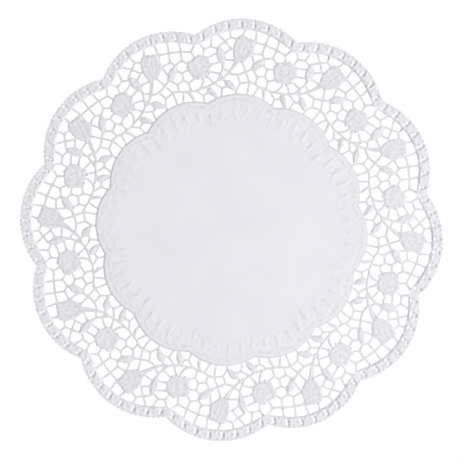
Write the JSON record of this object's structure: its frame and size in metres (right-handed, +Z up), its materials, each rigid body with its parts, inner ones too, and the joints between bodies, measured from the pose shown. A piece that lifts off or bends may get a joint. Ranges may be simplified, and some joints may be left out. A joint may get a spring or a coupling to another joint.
{
  "type": "paper doily",
  "caption": "Round paper doily, die-cut and embossed, with a plain scalloped centre, an open net border of roses, buds and leaves, and a scalloped edge.",
  "frame": {"origin": "centre of the doily, on the surface that it lies on", "axes": "+Z up from the surface to the embossed face, with the tips of four scallops on +X, +Y, -X and -Y"},
  "size_m": [0.3, 0.3, 0.0016],
  "materials": {
    "paper": "matte"
  },
  "bodies": {
    "root": {"doily": "paper"}
  },
  "joints": []
}
